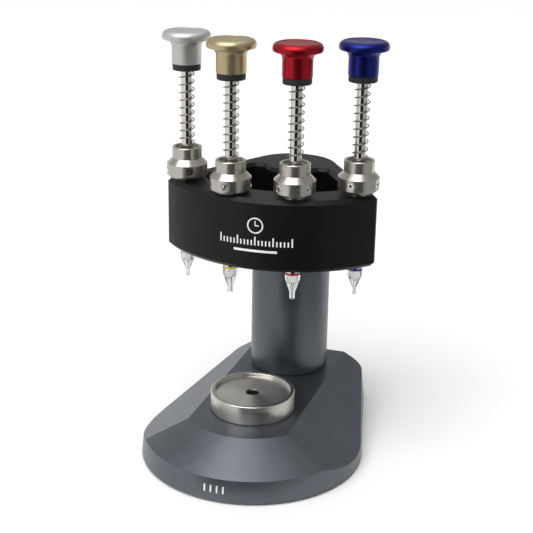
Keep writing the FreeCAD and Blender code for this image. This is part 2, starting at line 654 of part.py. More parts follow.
def main():
    parts = {
        "base_body": make_base_body(),
        "rubber_feet": make_rubber_feet(),
        "column": make_column(),
        "column_screw": make_column_screw(),
        "column_dowels": make_column_dowels(),
        "anvil": make_anvil(),
        "anvil_screw": make_anvil_screw(),
        "pivot_shaft": make_pivot_shaft(),
        "head_body": swung(make_head_body()),
        "lower_bush": make_bush(BUSH_START),
        "upper_bush": make_bush(UPPER_BUSH_START),
        "thrust_washer": make_thrust_washer(),
        "index_ball": swung(make_index_ball()),
        "index_spring": swung(make_index_spring()),
        "index_plug": swung(make_index_plug()),
        "stop_screw": swung(make_stop_screw()),
    }
    for index, name in enumerate(PLUNGERS):
        x, y = on_circle(REACH, plunger_angle(index))
        pieces = {
            "guide_sleeve": make_guide_sleeve(name),
            "collar": make_collar(name),
            "collar_screws": make_collar_screws(name),
            "return_spring": make_spring(),
            "knob": make_knob(),
            "buffer_ring": make_buffer_ring(),
            "spindle": make_spindle(),
            "tip_holder": make_tip_holder(),
            "colour_ring": make_colour_ring(),
            "tip": make_tip(name),
        }
        for piece, shape in pieces.items():
            shape.translate(V(x, y, 0))
            parts[f"{piece}_{name}"] = swung(shape)
    os.makedirs("parts", exist_ok=True)
    for name, shape in parts.items():
        if not shape.isValid():
            print("not valid:", name)
        shape.exportStep(f"parts/{name}.step")
        print(f"{name}: {len(shape.Solids)} solids, {shape.Volume:.1f} mm3")


main()
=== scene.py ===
"""Looks of a watch hand setting press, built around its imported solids.

The press has a faceted base with a round anvil, a column, and a turning head that carries four
sprung plungers. Sizes in the classes are in millimetres, and meshes are made in metres.
"""
import json
import logging
import math
from collections.abc import Iterator
from contextlib import contextmanager
from dataclasses import dataclass, field
from enum import Enum

import bmesh
import bpy
from mathutils import Matrix, Vector


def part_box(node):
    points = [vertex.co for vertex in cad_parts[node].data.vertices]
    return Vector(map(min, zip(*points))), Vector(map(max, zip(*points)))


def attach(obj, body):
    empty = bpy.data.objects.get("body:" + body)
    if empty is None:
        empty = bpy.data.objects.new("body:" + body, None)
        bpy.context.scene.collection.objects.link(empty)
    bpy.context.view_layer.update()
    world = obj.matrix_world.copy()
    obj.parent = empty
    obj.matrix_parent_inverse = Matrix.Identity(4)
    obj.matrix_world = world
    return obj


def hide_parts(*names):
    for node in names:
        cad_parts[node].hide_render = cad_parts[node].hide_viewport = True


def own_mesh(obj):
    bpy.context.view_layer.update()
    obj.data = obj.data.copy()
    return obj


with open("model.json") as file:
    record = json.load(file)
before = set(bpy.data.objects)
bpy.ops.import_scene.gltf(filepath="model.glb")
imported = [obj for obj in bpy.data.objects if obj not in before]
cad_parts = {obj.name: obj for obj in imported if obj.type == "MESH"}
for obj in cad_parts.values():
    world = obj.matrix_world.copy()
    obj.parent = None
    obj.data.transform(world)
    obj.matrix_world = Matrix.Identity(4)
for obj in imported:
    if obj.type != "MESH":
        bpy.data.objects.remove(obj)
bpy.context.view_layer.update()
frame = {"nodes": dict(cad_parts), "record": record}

LOG = logging.getLogger("press")
MM = 0.001
PROFILE_SIDES = 96
MERGE_DISTANCE = 2e-6  # metres
SMOOTH_ANGLE = math.radians(28)
FLAT_ANGLE = math.radians(0.5)
UPRIGHT = (math.radians(90), 0, 0)
NEAR_AXIS = 1e-4  # millimetres, a radius small enough to merge into the axis
RING_TOLERANCE = 0.02  # millimetres
LEVEL_TOLERANCE = 1e-6  # metres
NOISE_LOW, NOISE_HIGH = 0.3, 0.7  # where most of a noise value lies

Point = tuple[float, float]
Triple = tuple[float, float, float]
Socket = bpy.types.NodeSocket
Piece = bpy.types.Object


class Colour(Enum):
    """The four plungers, from the operator's left to right."""

    SILVER = "silver"
    GOLD = "gold"
    RED = "red"
    BLUE = "blue"


# ---------------------------------------------------------------- finishes


@dataclass
class Shader:
    """A material's node tree, with short ways to add and join nodes."""

    name: str
    material: bpy.types.Material = field(init=False)
    bsdf: bpy.types.ShaderNode = field(init=False)

    def __post_init__(self) -> None:
        """Make the material and keep its main shader node."""
        self.material = bpy.data.materials.new(self.name)
        self.material.use_nodes = True
        self.bsdf = self.material.node_tree.nodes["Principled BSDF"]

    def add(self, kind: str, **settings: object) -> bpy.types.ShaderNode:
        """Add a node and set its plain properties.

        Args:
            kind: The node's type name, without the ShaderNode prefix.
            **settings: Properties of the node, such as operation.

        Returns:
            The new node.
        """
        node = self.material.node_tree.nodes.new("ShaderNode" + kind)
        for key, value in settings.items():
            setattr(node, key, value)
        return node

    def join(self, source: Socket, target: Socket) -> None:
        """Link an output socket to an input socket."""
        self.material.node_tree.links.new(source, target)

    def constants(self, **values: object) -> None:
        """Set inputs of the main shader.

        Args:
            **values: Input names with underscores for spaces, and their values.
        """
        for key, value in values.items():
            self.bsdf.inputs[key.replace("_", " ")].default_value = value

    def place(self, centre: Point = (0.0, 0.0)) -> Socket:
        """Object coordinates, centred on an upright axis.

        Args:
            centre: X and Y of the axis, in metres.

        Returns:
            The vector socket.
        """
        coordinates = self.add("TexCoord")
        mapping = self.add("Mapping")
        mapping.inputs["Location"].default_value = (-centre[0], -centre[1], 0.0)
        self.join(coordinates.outputs["Object"], mapping.inputs["Vector"])
        return mapping.outputs["Vector"]

    def level(self, centre: Point, operation: str) -> tuple[bpy.types.ShaderNode, Socket]:
        """Work on the level vector from an upright axis to the surface.

        Args:
            centre: X and Y of the axis, in metres.
            operation: What is done to the vector, such as LENGTH.

        Returns:
            The node that does it, and the height's socket.
        """
        split = self.add("SeparateXYZ")
        self.join(self.place(centre), split.inputs["Vector"])
        flat = self.add("CombineXYZ")
        self.join(split.outputs["X"], flat.inputs["X"])
        self.join(split.outputs["Y"], flat.inputs["Y"])
        result = self.add("VectorMath", operation=operation)
        self.join(flat.outputs["Vector"], result.inputs[0])
        return result, split.outputs["Z"]

    def turned_place(self, centre: Point) -> Socket:
        """Coordinates that are the same all the way round an axis.

        Args:
            centre: X and Y of the axis, in metres.

        Returns:
            The socket of a vector of the distance from the axis and the height.
        """
        radius, height = self.level(centre, "LENGTH")
        turned = self.add("CombineXYZ")
        self.join(radius.outputs["Value"], turned.inputs["X"])
        self.join(height, turned.inputs["Y"])
        return turned.outputs["Vector"]

    def sweep(self, centre: Point) -> Socket:
        """Coordinates that change only with the direction round an axis.

        Args:
            centre: X and Y of the axis, in metres.

        Returns:
            The vector socket.
        """
        return self.level(centre, "NORMALIZE")[0].outputs["Vector"]

    def noise(self, place: Socket, scale: float, detail: float = 2.0) -> Socket:
        """A noise texture's value.

        Args:
            place: The coordinates it reads.
            scale: Its scale, per metre.
            detail: How many finer layers it has.

        Returns:
            The value socket.
        """
        texture = self.add("TexNoise")
        texture.inputs["Scale"].default_value = scale
        texture.inputs["Detail"].default_value = detail
        self.join(place, texture.inputs["Vector"])
        return texture.outputs["Fac"]

    def spread(self, value: Socket, low: float, high: float) -> Socket:
        """Map the middle of a noise value onto a range.

        Args:
            value: The noise value.
            low: Result at NOISE_LOW.
            high: Result at NOISE_HIGH.

        Returns:
            The mapped value socket.
        """
        spread = self.add("MapRange")
        spread.inputs["From Min"].default_value = NOISE_LOW
        spread.inputs["From Max"].default_value = NOISE_HIGH
        spread.inputs["To Min"].default_value = low
        spread.inputs["To Max"].default_value = high
        self.join(value, spread.inputs["Value"])
        return spread.outputs["Result"]

    def mottle(self, value: Socket, colour: Triple, amount: float) -> None:
        """Vary the base colour a little, darker and lighter.

        Args:
            value: The noise value that drives it.
            colour: The middle colour.
            amount: Share by which it goes each way.
        """
        mix = self.add("Mix", data_type="RGBA")
        mix.inputs["A"].default_value = (*(c * (1 - amount) for c in colour), 1)
        mix.inputs["B"].default_value = (*(min(1.0, c * (1 + amount)) for c in colour), 1)
        self.join(self.spread(value, 0.0, 1.0), mix.inputs["Factor"])
        self.join(mix.outputs["Result"], self.bsdf.inputs["Base Color"])

    def roughen(self, value: Socket, roughness: float, amount: float) -> None:
        """Vary the roughness with a noise value.

        Args:
            value: The noise value.
            roughness: The middle roughness.
            amount: How far it goes each way.
        """
        varied = self.spread(value, roughness - amount, roughness + amount)
        self.join(varied, self.bsdf.inputs["Roughness"])

    def bump(self, value: Socket, strength: float, depth: float) -> None:
        """Give the surface a fine relief, on top of any that it has.

        Args:
            value: The height value.
            strength: Share of the relief that shows.
            depth: Height of the relief, in metres.
        """
        bump = self.add("Bump")
        bump.inputs["Strength"].default_value = strength
        bump.inputs["Distance"].default_value = depth
        self.join(value, bump.inputs["Height"])
        normal = self.bsdf.inputs["Normal"]
        if normal.is_linked:
            self.join(normal.links[0].from_socket, bump.inputs["Normal"])
        self.join(bump.outputs["Normal"], normal)


@dataclass(frozen=True)
class Anodised:
    """Blasted and anodised aluminium, or the softer satin of a turned knob."""

    name: str
    colour: Triple
    roughness: float
    metallic: float
    grain: float = 0.12
    turned: float = 0.0
    gloss: float = 0.5
    patch_scale: float = 60.0
    haze_scale: float = 240.0
    grain_scale: float = 3200.0
    line_scale: float = 2600.0
    grain_depth: float = 0.00003
    line_depth: float = 0.00002

    def make(self, centre: Point = (0.0, 0.0)) -> bpy.types.Material:
        """Build the material.

        Args:
            centre: X and Y of the piece's axis, for the turning marks.

        Returns:
            The material.
        """
        shader = Shader(self.name)
        shader.constants(Metallic=self.metallic, Specular_IOR_Level=self.gloss)
        place = shader.place()
        patches = shader.noise(place, self.patch_scale, detail=4.0)
        shader.mottle(patches, self.colour, amount=0.06)
        haze = shader.noise(place, self.haze_scale, detail=3.0)
        shader.roughen(haze, self.roughness, amount=0.04)
        grain = shader.noise(place, self.grain_scale, detail=1.0)
        shader.bump(grain, self.grain, self.grain_depth)
        if self.turned:
            lines = shader.noise(shader.turned_place(centre), self.line_scale)
            shader.bump(lines, self.turned, self.line_depth)
        return shader.material


@dataclass(frozen=True)
class TurnedSteel:
    """Stainless steel with the fine rings that a lathe tool leaves."""

    name: str
    colour: Triple
    roughness: float
    rings: float
    streak: float = 0.0
    glint: float = 0.10
    ring_scale: float = 6500.0
    glint_scale: float = 14.0
    ring_depth: float = 0.00002
    quarter_turn: float = 0.25

    def make(self, centre: Point = (0.0, 0.0)) -> bpy.types.Material:
        """Build the material round an axis.

        Args:
            centre: X and Y of the piece's axis.

        Returns:
            The material.
        """
        shader = Shader(self.name)
        shader.constants(Metallic=1.0)
        turned = shader.turned_place(centre)
        fine = shader.noise(turned, self.ring_scale)
        glints = shader.noise(shader.sweep(centre), self.glint_scale, detail=4.0)
        shader.mottle(glints, self.colour, self.glint)
        shader.roughen(fine, self.roughness, amount=0.06)
        shader.bump(fine, self.rings, self.ring_depth)
        if self.streak:
            shader.constants(Anisotropic=self.streak, Anisotropic_Rotation=self.quarter_turn)
            tangent = shader.add("Tangent", direction_type="RADIAL", axis="Z")
            shader.join(tangent.outputs["Tangent"], shader.bsdf.inputs["Tangent"])
        return shader.material


@dataclass(frozen=True)
class GroundSteel:
    """Ground, polished or blackened steel, and bronze, with very faint rings round its axis."""

    name: str
    colour: Triple
    roughness: float
    metallic: float = 1.0
    patch_scale: float = 400.0
    haze_scale: float = 1500.0
    haze_share: float = 0.25
    ring_scale: float = 7000.0
    ring_strength: float = 0.03
    ring_depth: float = 0.00001

    def make(self, centre: Point = (0.0, 0.0)) -> bpy.types.Material:
        """Build the material.

        Args:
            centre: X and Y of the piece's axis.

        Returns:
            The material.
        """
        shader = Shader(self.name)
        shader.constants(Metallic=self.metallic)
        place = shader.place(centre)
        patches = shader.noise(place, self.patch_scale, detail=3.0)
        shader.mottle(patches, self.colour, amount=0.04)
        haze = shader.noise(place, self.haze_scale)
        shader.roughen(haze, self.roughness, self.roughness * self.haze_share)
        rings = shader.noise(shader.turned_place(centre), self.ring_scale, detail=1.0)
        shader.bump(rings, self.ring_strength, self.ring_depth)
        return shader.material


@dataclass(frozen=True)
class Moulded:
    """Rubber and solid plastic: a dull skin with a faint moulded texture."""

    name: str
    colour: Triple
    roughness: float
    grain: float = 0.2
    gloss: float = 0.4
    patch_scale: float = 500.0
    haze_scale: float = 900.0
    grain_scale: float = 2600.0
    grain_depth: float = 0.00003

    def make(self, centre: Point = (0.0, 0.0)) -> bpy.types.Material:
        """Build the material.

        Args:
            centre: X and Y of the piece's axis.

        Returns:
            The material.
        """
        shader = Shader(self.name)
        shader.constants(Specular_IOR_Level=self.gloss)
        place = shader.place(centre)
        patches = shader.noise(place, self.patch_scale, detail=3.0)
        shader.mottle(patches, self.colour, amount=0.12)
        shader.roughen(shader.noise(place, self.haze_scale), self.roughness, amount=0.06)
        shader.bump(shader.noise(place, self.grain_scale), self.grain, self.grain_depth)
        return shader.material


@dataclass(frozen=True)
class ClearPlastic:
    """Clear moulded plastic with a faint haze."""

    name: str
    colour: Triple
    roughness: float
    clearness: float = 0.85
    bending: float = 1.45
    patch_scale: float = 300.0
    haze_scale: float = 800.0
    flow_scale: float = 1200.0
    flow_strength: float = 0.04
    flow_depth: float = 0.00002

    def make(self, centre: Point = (0.0, 0.0)) -> bpy.types.Material:
        """Build the material.

        Args:
            centre: X and Y of the piece's axis.

        Returns:
            The material.
        """
        shader = Shader(self.name)
        shader.constants(Transmission_Weight=self.clearness, IOR=self.bending)
        place = shader.place(centre)
        shader.mottle(shader.noise(place, self.patch_scale), self.colour, amount=0.02)
        shader.roughen(shader.noise(place, self.haze_scale), self.roughness, amount=0.03)
        flow = shader.noise(place, self.flow_scale, detail=1.0)
        shader.bump(flow, self.flow_strength, self.flow_depth)
        return shader.material


Finish = Anodised | TurnedSteel | GroundSteel | Moulded | ClearPlastic
FINISHES = {finish.name: finish for finish in (
    Anodised("slate_anodised", (0.116, 0.128, 0.144), 0.36, 0.82),
    Anodised("black_anodised", (0.0045, 0.0047, 0.0048), 0.42, 0.0, gloss=0.20),
    Anodised("silver_anodised", (0.58, 0.58, 0.57), 0.47, 0.90, grain=0.02, turned=0.06),
    Anodised("gold_anodised", (0.50, 0.42, 0.25), 0.38, 0.92, grain=0.02, turned=0.06),
    Anodised("red_anodised", (0.38, 0.012, 0.024), 0.36, 0.92, grain=0.02, turned=0.06),
    Anodised("blue_anodised", (0.016, 0.022, 0.19), 0.36, 0.92, grain=0.02, turned=0.06),
    TurnedSteel("turned_steel", (0.52, 0.50, 0.455), 0.33, rings=0.16, streak=0.6),
    GroundSteel("ground_steel", (0.70, 0.685, 0.64), 0.10),
    GroundSteel("spring_steel", (0.26, 0.25, 0.23), 0.24),
    GroundSteel("black_steel", (0.035, 0.035, 0.037), 0.40, metallic=0.7),
    GroundSteel("bronze_bush", (0.45, 0.30, 0.14), 0.35),
    Moulded("black_rubber", (0.012, 0.012, 0.013), 0.55),
    Moulded("foot_rubber", (0.022, 0.022, 0.022), 0.70),
    ClearPlastic("clear_plastic", (0.90, 0.915, 0.92), 0.04),
    Moulded("white_ring", (0.80, 0.80, 0.78), 0.35, grain=0.05),
    Moulded("yellow_ring", (0.78, 0.62, 0.02), 0.35, grain=0.05),
    Moulded("red_ring", (0.42, 0.010, 0.03), 0.35, grain=0.05),
    Moulded("blue_ring", (0.010, 0.035, 0.30), 0.35, grain=0.05),
)}
ANVIL_STEEL = TurnedSteel("turned_steel_anvil", (0.64, 0.62, 0.58), 0.28, rings=0.05,
                          streak=0.8, glint=0.05)
# Painted shade: bores take a steel far darker than the turned steel, for the shade inside them, and
# a rougher one for a drilled finish.
BORE_SHADE_STEEL = TurnedSteel("bore_painted_shade", (0.13, 0.125, 0.12), 0.45, rings=0.10)
MARK_PRINT = Moulded("mark_print", (0.72, 0.72, 0.70), 0.55, grain=0.10)
SLOT_OF = {row["node"]: row["material_slot"] for row in frame["record"]["subparts"]}


@dataclass
class Wardrobe:
    """Keeps each material that was made, so that pieces on one axis share it."""

    made: dict[tuple[str, Point], bpy.types.Material] = field(default_factory=dict)

    def fetch(self, finish: Finish, centre: Point = (0.0, 0.0)) -> bpy.types.Material:
        """The material of a finish round an axis.

        Args:
            finish: One of the finishes above.
            centre: X and Y of the axis, in metres.

        Returns:
            The material, made the first time it is asked for.
        """
        key = (finish.name, (round(centre[0], 5), round(centre[1], 5)))
        if key not in self.made:
            self.made[key] = finish.make(centre)
        return self.made[key]

    def dress(self, piece: Piece, finish: Finish, centre: Point = (0.0, 0.0)) -> None:
        """Give a piece one finish and nothing else.

        Args:
            piece: The mesh object.
            finish: One of the finishes above.
            centre: X and Y of the piece's axis, in metres.
        """
        piece.data.materials.clear()
        piece.data.materials.append(self.fetch(finish, centre))


WARDROBE = Wardrobe()


# ---------------------------------------------------------------- modelling by hand


def deselect_all() -> None:
    """Leave every object unselected."""
    for item in bpy.context.selected_objects:
        item.select_set(False)


def make_active(piece: Piece) -> None:
    """Select one object only, and make it the active one.

    Args:
        piece: The object.
    """
    deselect_all()
    piece.select_set(True)
    bpy.context.view_layer.objects.active = piece


def settle(piece: Piece) -> None:
    """Put the piece's place into its mesh and leave its object at the origin."""
    piece.data.transform(piece.matrix_world)
    piece.matrix_world = Matrix.Identity(4)


@contextmanager
def editing(piece: Piece) -> Iterator[None]:
    """Stay in edit mode on one piece for the length of a with block.

    Args:
        piece: The mesh object.

    Yields:
        Nothing; the piece is back in object mode afterwards.
    """
    make_active(piece)
    bpy.ops.object.mode_set(mode="EDIT")
    yield
    bpy.ops.object.mode_set(mode="OBJECT")


def pick(action: str) -> None:
    """Select or deselect all of the mesh in edit mode."""
    bpy.ops.mesh.select_all(action=action)


def pick_open_edges() -> None:
    """In edit mode, select the open edges and nothing else."""
    pick("DESELECT")
    bpy.ops.mesh.select_mode(type="EDGE")
    bpy.ops.mesh.select_non_manifold()


def face_out() -> None:
    """In edit mode, turn every face outwards."""
    pick("SELECT")
    bpy.ops.mesh.normals_make_consistent(inside=False)


def apply_modifier(piece: Piece, kind: str, **settings: object) -> None:
    """Add a modifier, set it and apply it.

    Args:
        piece: The mesh object.
        kind: The modifier's type, such as BEVEL.
        **settings: The modifier's properties.
    """
    make_active(piece)
    modifier = piece.modifiers.new(kind.lower(), kind)
    for key, value in settings.items():
        setattr(modifier, key, value)
    bpy.ops.object.modifier_apply(modifier=modifier.name)


def break_edges(piece: Piece, width: float, segments: int, angle: float) -> None:
    """Round off a piece's sharp edges by a little.

    Args:
        piece: The mesh object.
        width: The rounding's width, in millimetres.
        segments: Its number of steps.
        angle: Edges sharper than this, in degrees, are rounded.
    """
    apply_modifier(piece, "BEVEL", width=width * MM, segments=segments, limit_method="ANGLE",
                   angle_limit=math.radians(angle), use_clamp_overlap=True)


def smooth(piece: Piece, angle: float = SMOOTH_ANGLE) -> None:
    """Shade a piece smooth except across its sharp edges, with large faces kept flat.

    Args:
        piece: The mesh object.
        angle: Edges sharper than this, in radians, stay sharp.
    """
    make_active(piece)
    bpy.ops.object.shade_smooth_by_angle(angle=angle)
    apply_modifier(piece, "WEIGHTED_NORMAL", weight=60, keep_sharp=True)


def paint_bore_shade(piece: Piece, centre: Point, radius: float, below: float) -> None:
    """Give the faces inside a bore a rougher drilled finish and painted shade: a far darker steel
    that stands in for the shade in the hole.

    Args:
        piece: The piece, already dressed.
        centre: X and Y of the bore's axis, in metres.
        radius: Faces nearer to the axis than this, in millimetres, take it.
        below: Only faces lower than this height, in millimetres, take it.
    """
    piece.data.materials.append(WARDROBE.fetch(BORE_SHADE_STEEL, centre))
    for face in piece.data.polygons:
        out = math.hypot(face.center.x - centre[0], face.center.y - centre[1]) / MM
        if out < radius and face.center.z / MM < below:
            face.material_index = 1


def lathe(name: str, profile: list[Point], sides: int = PROFILE_SIDES) -> Piece:
    """Turn a closed solid about the Z axis by extruding and scaling one ring of edges.

    Args:
        name: The piece's name.
        profile: (radius, z) points in millimetres. A radius of 0 closes the solid on its axis;
            a profile that starts and ends off the axis is a tube, and is bridged shut.
        sides: Number of sides round the axis.

    Returns:
        The piece, with its place in its mesh.
    """
    deselect_all()
    here_r, here_z = profile[0]
    bpy.ops.mesh.primitive_circle_add(vertices=sides, radius=max(here_r, NEAR_AXIS) * MM,
                                      location=(0, 0, here_z * MM))
    piece = bpy.context.object
    piece.name = name
    with editing(piece):
        for radius, z in profile[1:]:
            rise = (0, 0, (z - here_z) * MM)
            bpy.ops.mesh.extrude_region_move(TRANSFORM_OT_translate={"value": rise})
            scale = max(radius, NEAR_AXIS) / max(here_r, NEAR_AXIS)
            bpy.ops.transform.resize(value=(scale, scale, 1), center_override=(0, 0, z * MM))
            here_r, here_z = radius, z
        if profile[0][0] > 0 and profile[-1][0] > 0:
            pick_open_edges()
            bpy.ops.mesh.bridge_edge_loops()
        pick("SELECT")
        bpy.ops.mesh.remove_doubles(threshold=MERGE_DISTANCE)
        face_out()
    settle(piece)
    piece.data.name = name
    return piece


def on_ring(place: Vector, rings: list[Point]) -> bool:
    """Whether a point lies on one of the rings of a turned piece.

    Args:
        place: The point, in metres.
        rings: (radius, z) of each ring, in millimetres.

    Returns:
        True where it lies on one.
    """
    radius = math.hypot(place.x, place.y) / MM
    return any(abs(radius - r) < RING_TOLERANCE and abs(place.z / MM - z) < RING_TOLERANCE
               for r, z in rings)


def round_rings(piece: Piece, rings: list[Point], width: float, segments: int) -> None:
    """Bevel whole rings of edges of a turned piece.

    Args:
        piece: A piece that lathe made, still on the Z axis.
        rings: (radius, z) of each ring, in millimetres.
        width: The bevel's width, in millimetres.
        segments: Its number of steps.
    """
    with editing(piece):
        bpy.ops.mesh.select_mode(type="EDGE")
        pick("DESELECT")
        for edge in bmesh.from_edit_mesh(piece.data).edges:
            first, last = (vertex.co for vertex in edge.verts)
            level = abs(first.z - last.z) < LEVEL_TOLERANCE
            edge.select_set(level and on_ring(first, rings) and on_ring(last, rings))
        bmesh.update_edit_mesh(piece.data)
        bpy.ops.mesh.bevel(offset=width * MM, segments=segments, profile=0.5, affect="EDGES")


def merged_copy(node: str, name: str) -> Piece:
    """A new piece with a node's shape, its triangles merged and its flats made whole.

    Args:
        node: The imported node's name.
        name: The new piece's name.

    Returns:
        The piece.
    """
    piece = bpy.data.objects.new(name, frame["nodes"][node].data.copy())
    piece.data.name = name
    bpy.context.scene.collection.objects.link(piece)
    with editing(piece):
        pick("SELECT")
        bpy.ops.mesh.remove_doubles(threshold=MERGE_DISTANCE)
        bpy.ops.mesh.dissolve_limited(angle_limit=FLAT_ANGLE)
    return piece


def copied(source: Piece, name: str, offset: Vector) -> Piece:
    """A copy with a mesh of its own, moved by an offset.

    Args:
        source: The piece to copy.
        name: The copy's name.
        offset: How far it moves, in metres.

    Returns:
        The copy.
    """
    piece = bpy.data.objects.new(name, source.data.copy())
    piece.data.name = name
    piece.data.transform(Matrix.Translation(offset))
    bpy.context.scene.collection.objects.link(piece)
    return piece


def hand_over(piece: Piece, node: str, body: str, centre: Point = (0.0, 0.0)) -> None:
    """Dress a piece, fix it to its body and let it stand for its node.

    Args:
        piece: The finished piece.
        node: The node that it replaces.
        body: The body that it rides on.
        centre: X and Y of its axis, in metres.
    """
    WARDROBE.dress(piece, FINISHES[SLOT_OF[node]], centre)
    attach(piece, body)
    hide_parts(node)
    LOG.info("%s: %d faces, on %s", piece.name, len(piece.data.polygons), body)


def arc(centre: Point, radius: Point, start: float, end: float, steps: int) -> list[Point]:
    """Points on an ellipse's quarter in a profile.

    Args:
        centre: (radius, z) of its centre.
        radius: Its half width and half height.
        start: First angle in degrees.
        end: Last angle in degrees.
        steps: Number of steps between them.

    Returns:
        The points, with both ends.
    """
    turns = [math.radians(start + (end - start) * i / steps) for i in range(steps + 1)]
    return [(centre[0] + radius[0] * math.cos(turn), centre[1] + radius[1] * math.sin(turn))
            for turn in turns]


def fit_out(nodes: tuple[str, ...], body: str) -> None:
    """Dress the inner pieces of a body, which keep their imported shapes.

    Args:
        nodes: The nodes that the pieces stand for.
        body: The body that they ride on.
    """
    for node in nodes:
        piece = merged_copy(node, f"{node}_piece")
        smooth(piece)
        hand_over(piece, node, body)


def axis_of(node: str) -> Point:
    """X and Y of the middle of a node's box, in metres."""
    low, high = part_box(node)
    return ((low.x + high.x) / 2, (low.y + high.y) / 2)


def heights_of(node: str) -> Point:
    """Lowest and highest z of a node, in millimetres."""
    low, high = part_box(node)
    return (low.z / MM, high.z / MM)


def radius_of(node: str) -> float:
    """Outer radius of a round upright node, in millimetres."""
    return (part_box(node)[1].x - axis_of(node)[0]) / MM


@dataclass
class Stencil:
    """Flat printed shapes, cut upright in front of a wall and then laid on it."""

    y: float
    thick: float = 0.05
    wall_share: float = 1.2
    resolution: float = 1.0
    ring_sides: int = 64

    def ring(self, z: float, radius: float, width: float) -> Piece:
        """A ring, cut from a disc by an inset.

        Args:
            z: Height of its middle, in millimetres.
            radius: Its outer radius, in millimetres.
            width: Its width, in millimetres.

        Returns:
            The flat ring.
        """
        deselect_all()
        bpy.ops.mesh.primitive_circle_add(vertices=self.ring_sides, radius=radius * MM,
                                          fill_type="NGON", rotation=UPRIGHT,
                                          location=(0, self.y * MM, z * MM))
        piece = bpy.context.object
        with editing(piece):
            bpy.ops.mesh.inset(thickness=width * MM)
            bpy.ops.mesh.delete(type="FACE")
        settle(piece)
        return piece

    def bar(self, x: float, z: float, width: float, height: float) -> Piece:
        """A bar, cut fine enough to follow a curved wall.

        Args:
            x: Its middle, in millimetres.
            z: Its middle's height, in millimetres.
            width: Its length, in millimetres.
            height: Its height, in millimetres.

        Returns:
            The flat bar.
        """
        deselect_all()
        middle = (x * MM, self.y * MM, z * MM)
        bpy.ops.mesh.primitive_grid_add(x_subdivisions=max(1, round(width / self.resolution)),
                                        y_subdivisions=max(1, round(height / self.resolution)),
                                        size=1.0, location=middle, rotation=UPRIGHT)
        piece = bpy.context.object
        with editing(piece):
            bpy.ops.transform.resize(value=(width * MM, 1, height * MM), center_override=middle)
        settle(piece)
        return piece

    def print_on(self, wall: Piece, parts: list[Piece], name: str, body: str,
                 turn: float = 0.0) -> None:
        """Join shapes and lay them on a wall as a thin print.

        Args:
            wall: The piece that they lie on.
            parts: The flat shapes.
            name: The print's name.
            body: The body that it rides on.
            turn: Degrees by which it is turned about the Z axis first.
        """
        deselect_all()
        for part in parts:
            part.select_set(True)
        bpy.context.view_layer.objects.active = parts[0]
        bpy.ops.object.join()
        mark = bpy.context.object
        mark.name = name
        mark.data.name = name
        settle(mark)
        mark.data.transform(Matrix.Rotation(math.radians(turn), 4, "Z"))
        apply_modifier(mark, "SHRINKWRAP", target=wall, wrap_method="PROJECT",
                       use_project_x=False, use_project_y=True, use_project_z=False,
                       use_negative_direction=True, use_positive_direction=True,
                       wrap_mode="ABOVE_SURFACE", offset=self.thick * MM)
        apply_modifier(mark, "SOLIDIFY", thickness=self.thick * MM * self.wall_share, offset=0.0)
        with editing(mark):
            face_out()
        WARDROBE.dress(mark, MARK_PRINT)
        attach(mark, body)
        LOG.info("%s: %d faces, on %s", name, len(mark.data.polygons), body)


# ---------------------------------------------------------------- the stand


@dataclass
class Stand:
    """Base, column and anvil, with the screws and feet under them."""

    edge: float = 0.35
    anvil_sides: int = 160
    anvil_recess_r: float = 17.5
    anvil_recess: float = 1.5
    anvil_rim: float = 0.45
    anvil_corner: float = 0.2
    anvil_hole_r: float = 2.85
    anvil_hole_depth: float = 4.5
    anvil_hole_chamfer: float = 0.5
    anvil_groove: float = 0.6
    spigot_r: float = 8.0
    spigot: float = 4.0
    screw_r: float = 2.5
    ticks: int = 4
    tick_height: float = 6.6
    tick_tall: float = 3.4
    tick_wide: float = 0.7
    tick_pitch: float = 2.9

    def build(self) -> None:
        """Build and dress every piece of the stand."""
        self.build_castings()
        self.build_anvil()
        fit_out(("rubber_feet", "column_screw", "column_dowels", "anvil_screw", "pivot_shaft"),
                "stand")

    def build_castings(self) -> None:
        """The base and the column, with their sharp edges broken."""
        for node in ("base_body", "column"):
            piece = merged_copy(node, f"{node}_piece")
            break_edges(piece, self.edge, segments=3, angle=9)
            smooth(piece, math.radians(20))
            hand_over(piece, node, "stand")
            if node == "base_body":
                self.build_ticks(piece)

    def build_ticks(self, wall: Piece) -> None:
        """Short upright ticks, printed low on the base's front wall.

        Args:
            wall: The base.
        """
        stencil = Stencil(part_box("base_body")[0].y / MM - 1)
        middle = (self.ticks - 1) / 2
        parts = [stencil.bar((i - middle) * self.tick_pitch, self.tick_height, self.tick_wide,
                             self.tick_tall) for i in range(self.ticks)]
        stencil.print_on(wall, parts, "base_mark", "stand")

    def build_anvil(self) -> None:
        """The turned cup, its rounded rim and the drilled hole in its middle."""
        low, high = heights_of("anvil")
        centre = axis_of("anvil")
        outer = radius_of("anvil")
        base = low + self.spigot
        groove_top = base + self.anvil_groove
        floor = high - self.anvil_recess
        hole_floor = floor - self.anvil_hole_depth
        rim_in = self.anvil_recess_r
        hole_r = self.anvil_hole_r
        chamfer = self.anvil_hole_chamfer
        piece = lathe("anvil_piece", [
            (self.screw_r, low), (self.spigot_r, low), (self.spigot_r, base),
            (outer - self.anvil_groove, base), (outer - self.anvil_groove, groove_top),
            (outer, groove_top), (outer, high), (rim_in, high), (rim_in, floor),
            (hole_r + chamfer, floor), (hole_r, floor - chamfer), (hole_r, hole_floor),
            (self.screw_r, hole_floor)], self.anvil_sides)
        round_rings(piece, [(outer, high), (rim_in, high)], self.anvil_rim, 4)
        round_rings(piece, [(outer, groove_top), (rim_in, floor)], self.anvil_corner, 2)
        piece.data.transform(Matrix.Translation((*centre, 0)))
        smooth(piece)
        hand_over(piece, "anvil", "stand", centre)
        WARDROBE.dress(piece, ANVIL_STEEL, centre)
        # Painted shade inside the anvil's hole.
        paint_bore_shade(piece, centre, hole_r + 0.9 * chamfer, high)


# ---------------------------------------------------------------- the head


